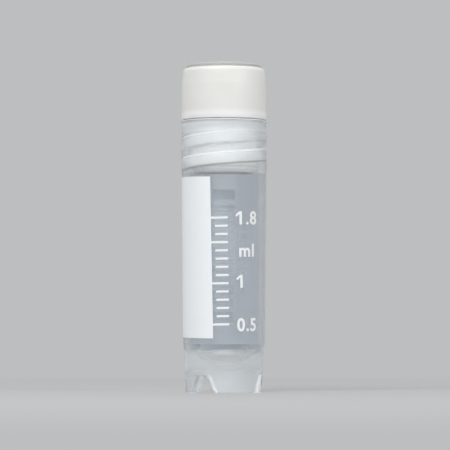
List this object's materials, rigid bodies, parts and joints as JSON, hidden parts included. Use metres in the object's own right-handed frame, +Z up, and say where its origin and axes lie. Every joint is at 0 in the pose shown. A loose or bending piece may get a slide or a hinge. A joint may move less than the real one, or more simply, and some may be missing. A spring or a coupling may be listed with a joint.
{
  "type": "cryovial",
  "caption": "Self-standing cryogenic sample vial: translucent tube with a funnel floor and notched foot, closed by a white internal-thread screw cap on a silicone washer.",
  "frame": {"origin": "centre of the ring that the foot stands on, on the vial's axis", "axes": "+Z up along the vial's axis; the graduations face -Y"},
  "size_m": [0.0125, 0.0124, 0.048],
  "materials": {
    "tube_polypropylene": "natural milky translucent polypropylene",
    "cap_polypropylene": "satin opaque white",
    "silicone": "soft matte"
  },
  "bodies": {
    "tube_body": {"tube": "tube_polypropylene"},
    "gasket_body": {"gasket": "silicone"},
    "cap_body": {"screw_cap": "cap_polypropylene"}
  },
  "joints": [
    {"name": "cap_rise", "type": "slide", "parent": "tube_body", "child": "gasket_body", "axis": [0, 0, 1], "range_m": [0, 0.009]},
    {"name": "cap_turn", "type": "hinge", "parent": "gasket_body", "child": "cap_body", "pos_m": [0, 0, 0.0357], "axis": [0, 0, 1], "range_deg": [0, 1080]}
  ],
  "couplings": [
    {"joint": "cap_turn", "follows": "cap_rise", "rad_per_m": 2094.4}
  ]
}
